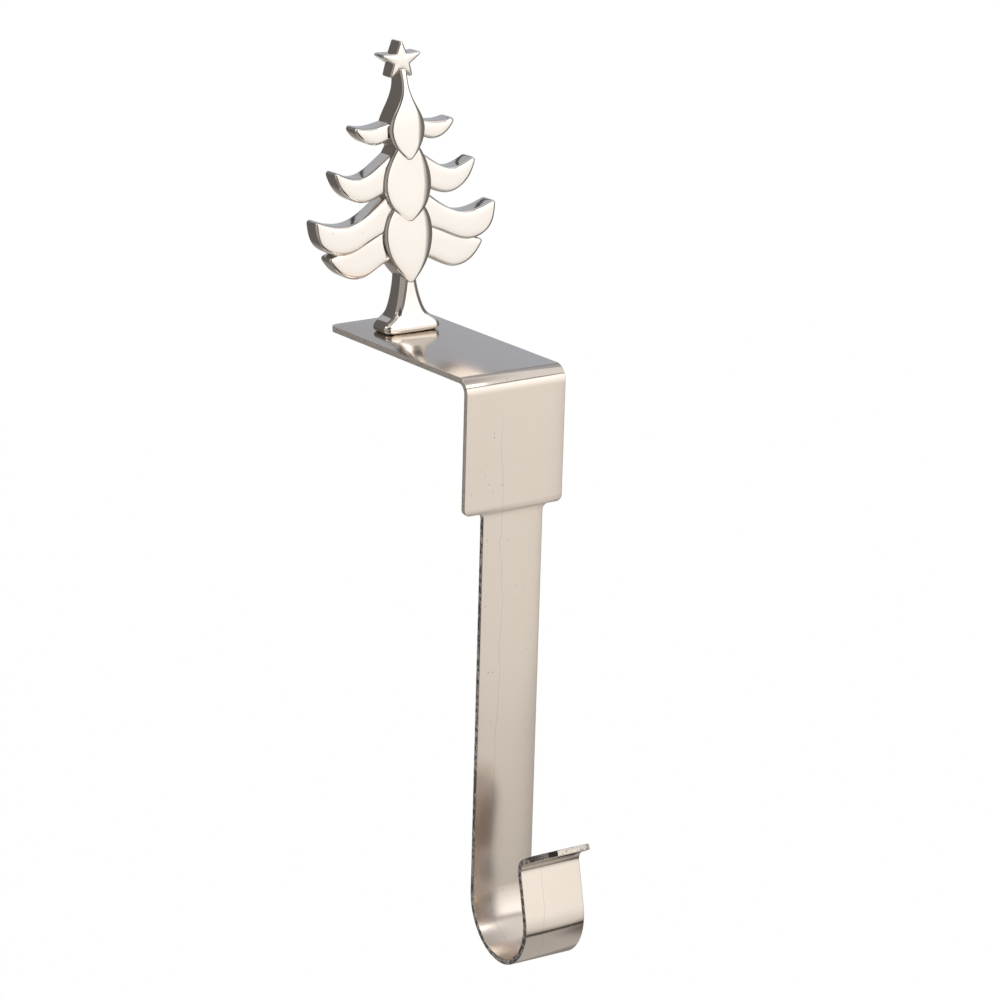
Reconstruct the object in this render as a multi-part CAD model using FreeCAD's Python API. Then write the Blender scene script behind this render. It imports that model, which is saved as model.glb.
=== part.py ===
import FreeCAD, Part
import math
import os

# Mantel stocking holder: a bent steel bracket that lies on a shelf, with its
# strap and hook hanging in front, and a cast tree figure screwed on top.
# Millimetres. X runs across the bracket, -Y is the front, +Z is up. Outlines are
# written from the inside corner of the bend, on the underside of the top plate.
# The finished nodes are moved so that the middle of that underside is the origin.

Vec = FreeCAD.Vector
ORIGIN = Vec(0, 0, 0)
X_AXIS = Vec(1, 0, 0)
Z_AXIS = Vec(0, 0, 1)
HALF_TURN = 180
RIGHT_ANGLE = 90
# Places closer than this are the same place
CLOSE = 1e-3

# Bracket sheet
sheet_thickness = 1.4
plate_width = 25.8
plate_depth = 63.7
plate_corner_radius = 2.5
bend_angle = 85.5
bend_inner_radius = 2.1
front_plate_height = 30.9
shoulder_corner_radius = 1.5
shoulder_fillet_radius = 1.4
strap_width = 15.7

# Hook at the lower end of the strap
hook_drop = 125.1
hook_outer_radius = 12.65
upstand_lean = 14.2
upstand_length = 10.6
lip_bend_radius = 2.6
lip_rise = 31.0
lip_length = 5.6
lip_corner_radius = 2.6

# Tree casting: its flat back, and how thick each part stands in front of it
casting_back = 53.0
branch_thickness = 5.7
low_branch_setback = 0.4
leaf_thickness = 8.2
star_thickness = 5.4
branch_tip_radius = 1.0
branch_edge_bevel = 0.9
leaf_crown_radius = 17.0
leaf_crown_reach = 11.0
leaf_tilt = 1.6
neck_bend_radius = 32.0
leaf_tip_radius = 1.4
leaf_edge_radius = 0.9
neck_edge_radius = 0.6
star_tip_radius = 0.45
star_edge_bevel = 0.35

# Foot and trunk of the casting
foot_depth = 8.2
foot_half_width = 7.3
trunk_edge_radius = 1.1

# Screws from below, through the plate into the foot
screw_spacing = 6.4
screw_diameter = 2.5
screw_head_diameter = 4.7
screw_grip = 3.0
screw_clearance = 0.1
screw_tip_gap = 0.4
screw_head_sink = 0.1
recess_width = 0.6
recess_span = 2.4
recess_depth = 0.7

# Sizes that follow from the ones above
plate_top = sheet_thickness
strap_tilt = RIGHT_ANGLE - bend_angle
half_width = plate_width / 2
seat_centre = plate_depth / 2
branch_front = casting_back - branch_thickness
star_front = casting_back - star_thickness
leaf_front = casting_back - leaf_thickness
foot_front = casting_back - foot_depth
foot_centre = (foot_front + casting_back) / 2

# Branch outlines on the right side, as (distance from the middle, height above
# the plate). Both edges run from the middle out to the tip. Here and below, an
# outline goes straight to its second point and on from there in smooth arcs.
BRANCHES = {
    "top": {
        "upper": [(0, 50.9), (5.0, 49.5), (13.9, 49.8)],
        "lower": [(0, 48.4), (4.2, 45.8), (11.5, 46.4), (13.9, 49.8)],
        "setback": 0},
    "middle": {
        "upper": [(0, 45.6), (7.8, 39.3), (19.2, 40.2)],
        "lower": [(0, 37.4), (6.2, 33.1), (16.5, 34.3), (19.2, 40.2)],
        "setback": 0},
    "low": {
        "upper": [(0, 37.3), (8.4, 30.0), (24.1, 28.9)],
        "lower": [(0, 28.1), (11.4, 21.3), (21.4, 21.4), (24.1, 28.9)],
        "setback": 0},
    "lowest": {
        "upper": [(0, 26.4), (9.0, 23.5), (20.8, 19.4)],
        "lower": [(0, 21.4), (7.7, 15.7), (17.3, 15.1), (20.8, 19.4)],
        "setback": low_branch_setback},
}

# Leaf outlines on the right side, from the upper end down to the tip
LEAVES = {
    "top": [(0.9, 61.6), (1.0, 58.3), (3.2, 51.0), (3.3, 44.7), (0, 40.5)],
    "middle": [(2.3, 44.8), (4.6, 40.1), (4.4, 30.2), (0, 26.2)],
    "bottom": [(3.3, 30.7), (4.7, 27.9), (4.7, 17.4), (0, 11.3)],
}

# Right half of the star from its top point, tips and notches in turn
STAR_SIDE = [(0, 68.9), (1.4, 65.3), (6.0, 65.5), (2.15, 62.8), (3.2, 59.2), (0, 61.3)]

# Half-width of trunk and foot, as (distance from the middle, height)
FOOT_SIDE = [(2.9, 19.0), (2.4, 16.0), (3.6, 6.1), (6.5, 2.7), (foot_half_width, 0)]

# How far the front of trunk and foot stands behind the foot's front edge
FOOT_FRONT = [(1.2, 19.0), (1.2, 8.1), (0.3, 2.6), (0, 0)]


def rad(degrees):
    return math.radians(degrees)


def heading(degrees):
    return (math.cos(rad(degrees)), math.sin(rad(degrees)))


def yz(point):
    return Vec(0, point[0], point[1])


class SheetPath:
    """Walks along the middle of a bent sheet and keeps both of its faces."""

    def __init__(self, y, z, direction, thickness):
        self.y = y
        self.z = z
        self.direction = direction
        self.half = thickness / 2
        self.left = []
        self.right = []

    def side_point(self, sign):
        normal = heading(self.direction + RIGHT_ANGLE)
        return (self.y + sign * self.half * normal[0], self.z + sign * self.half * normal[1])

    def straight(self, length):
        starts = [self.side_point(1), self.side_point(-1)]
        step = heading(self.direction)
        self.y += length * step[0]
        self.z += length * step[1]
        self.left.append(Part.makeLine(yz(starts[0]), yz(self.side_point(1))))
        self.right.append(Part.makeLine(yz(starts[1]), yz(self.side_point(-1))))

    def bend(self, middle_radius, turn):
        side = 1 if turn > 0 else -1
        to_side = side * RIGHT_ANGLE
        to_centre = heading(self.direction + to_side)
        centre = (self.y + middle_radius * to_centre[0], self.z + middle_radius * to_centre[1])
        tracks = [[self.side_point(1)], [self.side_point(-1)]]
        for share in (0.5, 1.0):
            spoke = heading(self.direction - to_side + turn * share)
            for track, sign in zip(tracks, (1, -1)):
                radius = middle_radius - sign * side * self.half
                track.append((centre[0] + radius * spoke[0], centre[1] + radius * spoke[1]))
        for edges, track in zip((self.left, self.right), tracks):
            edges.append(Part.Arc(*[yz(point) for point in track]).toShape())
        end = heading(self.direction - to_side + turn)
        self.y = centre[0] + middle_radius * end[0]
        self.z = centre[1] + middle_radius * end[1]
        self.direction += turn

    def prism(self, width):
        caps = []
        for end in (0, -1):
            corners = [track[end].Vertexes[end].Point for track in (self.left, self.right)]
            caps.append(Part.makeLine(*corners))
        face = face_from(self.left + self.right + caps)
        face.translate(Vec(-width / 2, 0, 0))
        return face.extrude(Vec(width, 0, 0))


def face_from(edges):
    return Part.Face(Part.Wire(Part.__sortEdges__(edges)))


def bracket_path():
    """Plate, bend, strap, hook, upstand and lip, from the plate's back edge."""
    half = sheet_thickness / 2
    bend_turn = HALF_TURN - bend_angle
    bend_setback = bend_inner_radius * math.tan(rad(bend_turn / 2))
    path = SheetPath(plate_depth, half, HALF_TURN, sheet_thickness)
    path.straight(plate_depth - bend_setback)
    path.bend(bend_inner_radius + half, bend_turn)
    path.straight(hook_drop - bend_setback)
    path.bend(hook_outer_radius - half, -(HALF_TURN + upstand_lean))
    path.straight(upstand_length)
    path.bend(lip_bend_radius + half, RIGHT_ANGLE + upstand_lean - lip_rise)
    path.straight(lip_length)
    return path


def edges_along_y(shape, x, z):
    """The pair of edges that run along Y at plus and minus x, at height z."""
    found = []
    for edge in shape.Edges:
        ends = [vertex.Point for vertex in edge.Vertexes]
        level = all(abs(point.z - z) < CLOSE for point in ends)
        if level and all(abs(abs(point.x) - x) < CLOSE for point in ends):
            found.append(edge)
    return found


def blank_outline():
    """Wide top part and narrow strap, seen from the front, as a deep block."""
    reach = 2 * plate_depth
    drop = hook_drop + 3 * hook_outer_radius
    wide = Part.makeBox(plate_width, 2 * reach, front_plate_height + reach,
                        Vec(-half_width, -reach, -front_plate_height))
    strap = Part.makeBox(strap_width, 2 * reach, drop + reach,
                         Vec(-strap_width / 2, -reach, -drop))
    block = wide.fuse(strap).removeSplitter()
    corners = edges_along_y(block, half_width, -front_plate_height)
    block = block.makeFillet(shoulder_corner_radius, corners)
    roots = edges_along_y(block, strap_width / 2, -front_plate_height)
    block = block.makeFillet(shoulder_fillet_radius, roots)
    block.rotate(ORIGIN, X_AXIS, strap_tilt)
    return block


def sheet_corner_edges(shape, middle_y, middle_z):
    """The two short edges across the sheet at one of its free ends."""
    found = []
    for edge in shape.Edges:
        ends = [vertex.Point for vertex in edge.Vertexes]
        if len(ends) == 2 and abs(edge.Length - sheet_thickness) < CLOSE:
            centre = (ends[0] + ends[1]) / 2
            if abs(centre.y - middle_y) < CLOSE and abs(centre.z - middle_z) < CLOSE:
                found.append(edge)
    return found


def screw_places():
    return [Vec(side * screw_spacing / 2, foot_centre, 0) for side in (-1, 1)]


def screw_body(place, extra, length):
    """Countersunk head and shank along +Z, grown sideways by extra."""
    head = screw_head_diameter / 2 + extra
    shank = screw_diameter / 2 + extra
    cone = Part.makeCone(head, shank, head - shank, place, Z_AXIS)
    return cone.fuse(Part.makeCylinder(shank, length, place, Z_AXIS))


def make_bracket():
    path = bracket_path()
    bracket = path.prism(plate_width).common(blank_outline())
    plate_corners = sheet_corner_edges(bracket, plate_depth, sheet_thickness / 2)
    bracket = bracket.makeFillet(plate_corner_radius, plate_corners)
    lip_corners = sheet_corner_edges(bracket, path.y, path.z)
    bracket = bracket.makeFillet(lip_corner_radius, lip_corners)
    for place in screw_places():
        sink = screw_body(place, screw_clearance / 2 + screw_head_sink, plate_top)
        bracket = bracket.cut(sink)
    return bracket


def casting_point(x, height, y):
    return Vec(x, y, plate_top + height)


def arc_run(points):
    """A line to the second point, then an arc to each next point.

    Each arc sets off in the direction in which the piece before it ends.
    """
    edges = [Part.makeLine(points[0], points[1])]
    ahead = points[1] - points[0]
    for start, end in zip(points[1:], points[2:]):
        chord = end - start
        turn_axis = ahead.cross(chord)
        angle = ahead.getAngle(chord)
        outward = chord.cross(turn_axis).normalize()
        bulge = chord.Length / 2 * math.tan(angle / 2)
        edges.append(Part.Arc(start, (start + end) / 2 + outward * bulge, end).toShape())
        ahead = FreeCAD.Rotation(turn_axis, math.degrees(2 * angle)).multVec(ahead)
    return edges


def outline_run(points, y):
    return arc_run([casting_point(x, height, y) for x, height in points])


def mirror_points(points):
    return [(-x, height) for x, height in points]


def line_between(first, last, y):
    return Part.makeLine(casting_point(*first, y), casting_point(*last, y))


def mirrored(shape):
    return shape.mirror(ORIGIN, X_AXIS)


def edges_in_plane_y(solid, y):
    """Edges of a right-hand half that lie in the plane y, off the middle."""
    found = []
    for edge in solid.Edges:
        box = edge.BoundBox
        if abs(box.YMin - y) < CLOSE and abs(box.YMax - y) < CLOSE and box.XMax > CLOSE:
            found.append(edge)
    return found


def make_branch_pair(outline):
    """One tier: a branch with bevelled front edges and the same on the left."""
    front = branch_front + outline["setback"]
    upper = outline["upper"]
    lower = outline["lower"]
    edges = outline_run(upper, front) + outline_run(lower, front)
    edges.append(line_between(lower[0], upper[0], front))
    solid = face_from(edges).extrude(Vec(0, casting_back - front, 0))
    tip_x = upper[-1][0]
    tip_edges = [edge for edge in solid.Edges
                 if edge.BoundBox.XLength < CLOSE and abs(edge.Vertexes[0].X - tip_x) < CLOSE]
    solid = solid.makeFillet(branch_tip_radius, tip_edges)
    solid = solid.makeChamfer(branch_edge_bevel, edges_in_plane_y(solid, front))
    return solid.fuse(mirrored(solid))


def dome_path(name, low, high):
    """The line up the front of a leaf. The top leaf's neck leans back to the star."""
    start = Vec(0, leaf_front, low)
    if name != "top":
        return Part.Wire([Part.makeLine(start, Vec(0, leaf_front, high))])
    turn = Vec(0, leaf_front, plate_top + max(LEAVES[name])[1])
    lean = (high - turn.z) / neck_bend_radius
    arc = [turn + neck_bend_radius * Vec(0, 1 - math.cos(angle), math.sin(angle))
           for angle in (0, lean / 2, lean)]
    return Part.Wire([Part.makeLine(start, turn), Part.Arc(*arc).toShape()])


def leaf_dome(name):
    """A bar deeper than the leaf, with a crowned front, swept along the leaf."""
    side = LEAVES[name]
    low = plate_top + side[-1][1] - leaf_tip_radius
    high = plate_top + side[0][1] + leaf_tip_radius
    path = dome_path(name, low, high)
    reach = leaf_crown_reach
    sag = leaf_crown_radius - math.sqrt(leaf_crown_radius ** 2 - reach ** 2)
    back = leaf_front + 2 * leaf_thickness
    crown = [Vec(-reach, leaf_front + sag, low), Vec(0, leaf_front, low), Vec(reach, leaf_front + sag, low)]
    box = Part.makePolygon([crown[2], Vec(reach, back, low), Vec(-reach, back, low), crown[0]])
    section = Part.Wire([Part.Arc(*crown).toShape()] + box.Edges)
    dome = path.makePipeShell([section], True, False)
    dome.rotate(Vec(0, leaf_front, plate_top + max(side)[1]), X_AXIS, -leaf_tilt)
    return dome


def make_leaf(name):
    """A pillowed leaf as deep as the casting, with a domed front."""
    side = LEAVES[name]
    other = mirror_points(side)
    front = leaf_front - leaf_edge_radius
    edges = outline_run(side, front) + outline_run(other, front)
    edges.append(line_between(other[0], side[0], front))
    block = face_from(edges).extrude(Vec(0, casting_back - front, 0))
    tip_edges = [edge for edge in block.Edges
                 if edge.BoundBox.YLength > CLOSE and abs(edge.Vertexes[0].X) < CLOSE]
    block = block.makeFillet(leaf_tip_radius, tip_edges)
    leaf = block.common(leaf_dome(name))
    radius = neck_edge_radius if name == "top" else leaf_edge_radius
    return leaf.makeFillet(radius, leaf_rim(leaf))


def leaf_rim(leaf):
    """The edges between a leaf's walls and its dome, without the upper end."""
    top = leaf.BoundBox.ZMax
    rim = []
    for edge in leaf.Edges:
        box = edge.BoundBox
        clear_of_back = box.YMax < casting_back - leaf_edge_radius
        if clear_of_back and box.ZMin < top - leaf_edge_radius and box.ZLength > CLOSE:
            rim.append(edge)
    return rim


def make_star():
    """Five-pointed star with a bevelled front, as one flat casting."""
    other = mirror_points(reversed(STAR_SIDE[1:-1]))
    corners = [casting_point(*point, star_front) for point in STAR_SIDE + other]
    face = Part.Face(Part.makePolygon(corners + corners[:1]))
    star = face.extrude(Vec(0, star_thickness, 0))
    tips = [edge for edge in star.Edges if edge.BoundBox.YLength > CLOSE and on_star_tip(edge)]
    star = star.makeFillet(star_tip_radius, tips)
    rim = [edge for edge in star.Edges if edge.BoundBox.YMax < star_front + CLOSE]
    return star.makeChamfer(star_edge_bevel, rim)


def on_star_tip(edge):
    place = edge.Vertexes[0].Point
    tips = STAR_SIDE[0::2]
    return any(abs(abs(place.x) - x) < CLOSE and abs(place.z - plate_top - height) < CLOSE
               for x, height in tips)


def make_trunk():
    """Trunk on a flared foot: a front profile crossed with a side profile."""
    near = foot_front - foot_depth
    other = mirror_points(FOOT_SIDE)
    outline = outline_run(FOOT_SIDE, near) + outline_run(other, near)
    outline.append(line_between(FOOT_SIDE[0], other[0], near))
    outline.append(line_between(FOOT_SIDE[-1], other[-1], near))
    front_view = face_from(outline).extrude(Vec(0, 3 * foot_depth, 0))
    reach = 2 * foot_half_width
    profile = [Vec(-reach, foot_front + inset, plate_top + height) for inset, height in FOOT_FRONT]
    back = [Vec(-reach, casting_back, point.z) for point in (profile[0], profile[-1])]
    box = Part.makePolygon([profile[0]] + back + [profile[-1]])
    side_view = face_from(arc_run(profile) + box.Edges).extrude(Vec(2 * reach, 0, 0))
    trunk = front_view.common(side_view)
    return trunk.makeFillet(trunk_edge_radius, trunk_corners(trunk))


def trunk_corners(trunk):
    """The edges that climb between the front and the two side walls."""
    return [edge for edge in trunk.Edges
            if edge.BoundBox.ZLength > CLOSE and edge.BoundBox.YMax < casting_back - CLOSE]


def make_screws():
    """Two countersunk screws, heads flush with the underside of the plate."""
    screws = []
    for place in screw_places():
        start = place + Vec(0, 0, screw_head_sink)
        screw = screw_body(start, 0, plate_top + screw_grip - screw_head_sink)
        for along, across in ((recess_span, recess_width), (recess_width, recess_span)):
            slot = Part.makeBox(along, across, recess_depth, start - Vec(along / 2, across / 2, 0))
            screw = screw.cut(slot)
        screws.append(screw)
    return Part.makeCompound(screws)


def make_tree():
    """The whole casting: foot, trunk, four tiers, three leaves and a star."""
    pieces = [make_trunk(), make_star()]
    pieces += [make_branch_pair(BRANCHES[name]) for name in BRANCHES]
    pieces += [make_leaf(name) for name in LEAVES]
    tree = pieces[0].multiFuse(pieces[1:])
    for place in screw_places():
        radius = (screw_diameter + screw_clearance) / 2
        tree = tree.cut(Part.makeCylinder(radius, plate_top + screw_grip + screw_tip_gap, place, Z_AXIS))
    return tree


os.makedirs("parts", exist_ok=True)
NODES = {"bracket": make_bracket, "tree_figure": make_tree, "fixing_screws": make_screws}
for node, maker in NODES.items():
    shape = maker()
    shape.translate(Vec(0, -seat_centre, 0))
    shape.exportStep("parts/" + node + ".step")
    print(node, shape.isValid(), round(shape.Volume, 1), len(shape.Solids), shape.BoundBox)
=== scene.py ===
# %% [markdown]
# # A mantel stocking holder
# The real thing is three pieces: a strip of plated sheet steel, bent into a plate,
# a strap and a hook; a polished die-cast tree that stands on the plate; and two
# screws that hold the tree from below. The CAD model fixes the outer size. This file
# builds the shown surfaces inside it, gives them their metal, and sets up a small
# studio. Lengths are written in millimetres, as on a drawing, and turned into
# metres in one place.

# %% Load the fixed frame
import math

import bmesh
import bpy
import numpy as np
from mathutils import Matrix, Vector


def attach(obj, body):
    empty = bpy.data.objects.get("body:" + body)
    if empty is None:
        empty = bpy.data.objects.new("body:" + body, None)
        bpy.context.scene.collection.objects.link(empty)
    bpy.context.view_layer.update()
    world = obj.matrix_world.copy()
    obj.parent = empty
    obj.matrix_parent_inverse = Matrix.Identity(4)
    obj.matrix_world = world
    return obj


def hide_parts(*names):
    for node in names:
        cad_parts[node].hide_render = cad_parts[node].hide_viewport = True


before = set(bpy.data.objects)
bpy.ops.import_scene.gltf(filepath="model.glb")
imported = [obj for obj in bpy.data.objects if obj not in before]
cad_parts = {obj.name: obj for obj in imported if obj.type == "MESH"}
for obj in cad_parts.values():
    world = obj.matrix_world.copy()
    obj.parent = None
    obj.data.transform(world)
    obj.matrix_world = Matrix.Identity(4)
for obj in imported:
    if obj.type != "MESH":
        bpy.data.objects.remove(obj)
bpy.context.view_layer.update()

# %% [markdown]
# ## Lengths and places
# The drawing of this part starts at the inside corner of the bend. The shared frame
# starts at the middle of the plate's underside instead, so one helper moves each
# point by half of the plate's depth and scales it. All places can then be read off
# the drawing as plain numbers.

# %% From drawing to metres
MM = 0.001
PLATE_DEPTH = 63.7
SHEET = 1.4
SEAT_CENTRE = PLATE_DEPTH / 2
# Lengths in millimetres that differ by less than this count as equal.
SAME = 1e-6


def place(x, y, z):
    """A drawing point as a vector in metres in the shared frame."""
    return Vector((x * MM, (y - SEAT_CENTRE) * MM, z * MM))


def link(name, data):
    piece = bpy.data.objects.new(name, data)
    bpy.context.scene.collection.objects.link(piece)
    return piece


# %% From a closed body to a piece
def closed_piece(name, body):
    """The finished body as a linked piece, with its faces turned outwards."""
    bmesh.ops.recalc_face_normals(body, faces=body.faces[:])
    mesh = bpy.data.meshes.new(name)
    body.to_mesh(mesh)
    body.free()
    return link(name, mesh)


def smooth_by_angle(piece, degrees):
    """Shades soft where faces meet gently, and keeps real edges crisp."""
    piece.data.shade_smooth()
    piece.data.set_sharp_from_angle(angle=math.radians(degrees))


def report(piece):
    """Prints how many faces a piece has, and its two far corners in millimetres."""
    corners = np.array([vertex.co[:] for vertex in piece.data.vertices]) / MM
    low, high = np.round(corners.min(axis=0), 2), np.round(corners.max(axis=0), 2)
    print(piece.name, "faces", len(piece.data.polygons), "mm", low, high)


# %% [markdown]
# ## The bent strip
# The bracket is cut flat and then folded, so it is made the same way here: a flat
# outline with its corner radii, a thickness, a fine rounding where the shear left
# the edge, and only then the folds. Every point keeps its place across the sheet
# and walks along the folded middle line. This keeps one even thickness through the
# bends, which a stack of boxes and rings would not.

# %% Sizes of the strip
PLATE_WIDTH = 25.8
STRAP_WIDTH = 15.7
PLATE_CORNER = 2.5
SHOULDER_DROP = 30.9
SHOULDER_CORNER = 1.5
SHOULDER_FILLET = 1.4
LIP_CORNER = 2.6
FOLD_TURN = 94.5
FOLD_INNER = 2.1
HOOK_DROP = 125.08
HOOK_OUTER = 12.65
UPSTAND_LEAN = 14.2
UPSTAND = 10.6
LIP_INNER = 2.6
LIP_RISE = 31.0
LIP = 5.6
EDGE_ROUNDING = 0.16

fold_setback = FOLD_INNER * math.tan(math.radians(FOLD_TURN / 2))
half_sheet = SHEET / 2

# %% The folded middle line
# Each entry is a straight length or a bend with its radius at mid sheet and its turn.
FOLDS = [
    ("straight", PLATE_DEPTH - fold_setback),
    ("bend", FOLD_INNER + half_sheet, FOLD_TURN),
    ("straight", HOOK_DROP - fold_setback),
    ("bend", HOOK_OUTER - half_sheet, -(180 + UPSTAND_LEAN)),
    ("straight", UPSTAND),
    ("bend", LIP_INNER + half_sheet, 90 + UPSTAND_LEAN - LIP_RISE),
    ("straight", LIP),
]


def fold_length(fold):
    return fold[1] if fold[0] == "straight" else fold[1] * math.radians(abs(fold[2]))


fold_ends = np.cumsum([0] + [fold_length(fold) for fold in FOLDS])
strip_length = fold_ends[-1]
shoulder_at = fold_ends[2] + SHOULDER_DROP - fold_setback
print("flat strip", round(strip_length, 1), "mm long, shoulder at", round(shoulder_at, 1))


def folded(along, lift):
    """Where a point of the flat strip ends up, as y and z on the drawing."""
    y, z, heading = PLATE_DEPTH, half_sheet, math.radians(180)
    for fold, start in zip(FOLDS, fold_ends):
        step = along - start
        if fold is not FOLDS[-1]:
            step = min(step, fold_length(fold))
        if fold[0] == "straight":
            y += step * math.cos(heading)
            z += step * math.sin(heading)
        else:
            side = math.copysign(1, fold[2])
            centre_y = y + fold[1] * math.cos(heading + side * math.pi / 2)
            centre_z = z + fold[1] * math.sin(heading + side * math.pi / 2)
            heading += side * step / fold[1]
            y = centre_y + fold[1] * math.cos(heading - side * math.pi / 2)
            z = centre_z + fold[1] * math.sin(heading - side * math.pi / 2)
        if along <= start + fold_length(fold):
            break
    return y - lift * math.sin(heading), z + lift * math.cos(heading)


# %% The flat outline
ARC_POINTS = 7
WIDE_ARC_POINTS = 9


def corner_arc(centre, radius, first, last, points):
    """Points of an arc from one direction to another, in degrees."""
    angles = np.radians(np.linspace(first, last, points))
    return [(centre[0] + radius * math.cos(a), centre[1] + radius * math.sin(a)) for a in angles]


def strip_outline():
    """Right side of the flat strip from its back edge to the lip, as (x, along)."""
    wide, narrow = PLATE_WIDTH / 2, STRAP_WIDTH / 2
    corners = [
        ((wide - PLATE_CORNER, PLATE_CORNER), PLATE_CORNER, -90, 0, WIDE_ARC_POINTS),
        ((wide - SHOULDER_CORNER, shoulder_at - SHOULDER_CORNER), SHOULDER_CORNER, 0, 90, ARC_POINTS),
        ((narrow + SHOULDER_FILLET, shoulder_at + SHOULDER_FILLET), SHOULDER_FILLET, -90, -180, ARC_POINTS),
        ((narrow - LIP_CORNER, strip_length - LIP_CORNER), LIP_CORNER, 0, 90, WIDE_ARC_POINTS),
    ]
    return [point for corner in corners for point in corner_arc(*corner)]


def flat_strip():
    """The blank as a closed solid: x across, y along, z through the sheet."""
    right = strip_outline()
    outline = right + [(-x, along) for x, along in reversed(right)]
    blank = bmesh.new()
    face = blank.faces.new([blank.verts.new((x, along, -half_sheet)) for x, along in outline])
    raised = bmesh.ops.extrude_face_region(blank, geom=[face])
    for vertex in [item for item in raised["geom"] if isinstance(item, bmesh.types.BMVert)]:
        vertex.co.z = half_sheet
    bmesh.ops.recalc_face_normals(blank, faces=blank.faces[:])
    rims = [edge for edge in blank.edges if abs(edge.verts[0].co.z - edge.verts[1].co.z) < SAME]
    bmesh.ops.bevel(blank, geom=rims, offset=EDGE_ROUNDING, segments=3, profile=0.5, affect="EDGES")
    return blank


# %% Cut rows across the strip, then fold it
BEND_STEP = 4.0
STRAIGHT_STEP = 3.0
BEND_MARGIN = 0.4
END_MARGIN = 0.5
ROW_SNAP = 1e-5
# A face whose normal rises less than this belongs to the cut edge.
EDGE_NORMAL = 0.6


def fold_rows():
    """Places along the strip where the mesh needs a row: close in the bends."""
    rows = []
    for fold, start, end in zip(FOLDS, fold_ends, fold_ends[1:]):
        wanted = (end - start) / STRAIGHT_STEP
        if fold[0] == "bend":
            wanted = abs(fold[2]) / BEND_STEP
        count = max(2, math.ceil(wanted))
        rows += list(np.linspace(start, end, count + 1)[1:])
        if fold[0] == "straight":
            rows += [start + BEND_MARGIN, end - BEND_MARGIN]
    return sorted(row for row in rows if END_MARGIN < row < strip_length - END_MARGIN)


def make_bracket():
    blank = flat_strip()
    for row in fold_rows():
        everything = blank.verts[:] + blank.edges[:] + blank.faces[:]
        bmesh.ops.bisect_plane(blank, geom=everything, plane_co=(0, row, 0), plane_no=(0, 1, 0),
                               dist=ROW_SNAP)
    for face in blank.faces:
        face.material_index = 1 if abs(face.normal.z) < EDGE_NORMAL else 0
    for vertex in blank.verts:
        y, z = folded(vertex.co.y, -vertex.co.z)
        vertex.co = place(vertex.co.x, y, z)
    return closed_piece("bent_strip", blank)


bent_strip = make_bracket()
report(bent_strip)

# %% [markdown]
# ## Slabs with a rounded rim
# The casting is made of flat forms with one thing in common: an outline, a straight
# wall, and a front that rolls over into the wall. Each is a grid that runs from one
# side of the outline to the other. The grid's depth comes from the distance to the
# outline, so the rim keeps an even roundness, even where two sides meet in a tip.
# A bevel on a filled outline would fold over itself there.

# %% Smooth curves through a few points
def walked(points):
    """How far along a line each of its points lies."""
    return np.concatenate([[0], np.cumsum(np.linalg.norm(np.diff(points, axis=0), axis=1))])


def spline(points, count):
    """A natural cubic curve through the points, evenly spaced by length."""
    points = np.array(points, dtype=float)
    knots = walked(points)
    gaps = np.diff(knots)
    size = len(points)
    system, right = np.eye(size), np.zeros((size, 2))
    for i in range(1, size - 1):
        system[i, i - 1:i + 2] = gaps[i - 1], 2 * (gaps[i - 1] + gaps[i]), gaps[i]
        right[i] = 6 * ((points[i + 1] - points[i]) / gaps[i] - (points[i] - points[i - 1]) / gaps[i - 1])
    bend = np.linalg.solve(system, right)
    places = knots[-1] * np.linspace(0, 1, count)
    span = np.clip(np.searchsorted(knots, places, side="right") - 1, 0, size - 2)
    gap, left = gaps[span][:, None], (places - knots[span])[:, None]
    over = gap - left
    curved = (bend[span] * over ** 3 + bend[span + 1] * left ** 3) / (6 * gap)
    from_left = (points[span] / gap - bend[span] * gap / 6) * over
    from_right = (points[span + 1] / gap - bend[span + 1] * gap / 6) * left
    return curved + from_left + from_right


def along_line(line, count, ease):
    """The same line with new points, closer towards its end when ease is above 1."""
    lengths = walked(line)
    wanted = lengths[-1] * (1 - (1 - np.linspace(0, 1, count)) ** ease)
    return np.stack([np.interp(wanted, lengths, line[:, axis]) for axis in (0, 1)], axis=1)


# %% Round off the point where two sides meet
# The sides' directions are read a few points back from the tip.
TIP_REACH = 6
TIP_BULGE = 0.26
TIP_STEPS = 8


def rounded_tip(first, second, radius, steps=TIP_STEPS):
    """Two sides that meet in a point, cut back and joined by an arc of this radius."""
    tip = first[-1]
    one, two = first[-TIP_REACH] - tip, second[-TIP_REACH] - tip
    half_angle = 0.5 * math.acos(np.dot(one, two) / np.linalg.norm(one) / np.linalg.norm(two))
    cut = radius / math.tan(half_angle)
    sides = [side[np.linalg.norm(side - tip, axis=1) > cut] for side in (first, second)]
    start, end = sides[0][-1], sides[1][-1]
    inward = (start + end) / 2 - tip
    middle = tip + inward / np.linalg.norm(inward) * radius * (1 / math.sin(half_angle) - 1)
    turn = np.linspace(0, 1, steps + 1)[1:, None]
    halves = []
    for side, point in zip(sides, (start, end)):
        corner = (point + middle) / 2 - inward * TIP_BULGE
        curve = (1 - turn) ** 2 * point + 2 * turn * (1 - turn) * corner + turn ** 2 * middle
        halves.append(np.concatenate([side, curve]))
    return halves


# %% Where a row crosses the slab
RIM_ANGLES = np.radians([0, 12, 25, 40, 55, 72, 90])
INSIDE = np.array([0.08, 0.17, 0.27, 0.38, 0.5])


def row_shares(width, radius):
    """Shares of a row's width: close in the rim, wide in the middle."""
    rim = np.minimum(radius * (1 - np.cos(RIM_ANGLES)) / width, 0.5 * (1 - np.cos(RIM_ANGLES)))
    inner = rim[-1] + (1 - 2 * rim[-1]) * INSIDE
    half = np.concatenate([rim, inner])
    return np.concatenate([half, 1 - half[:-1][::-1]])


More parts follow.
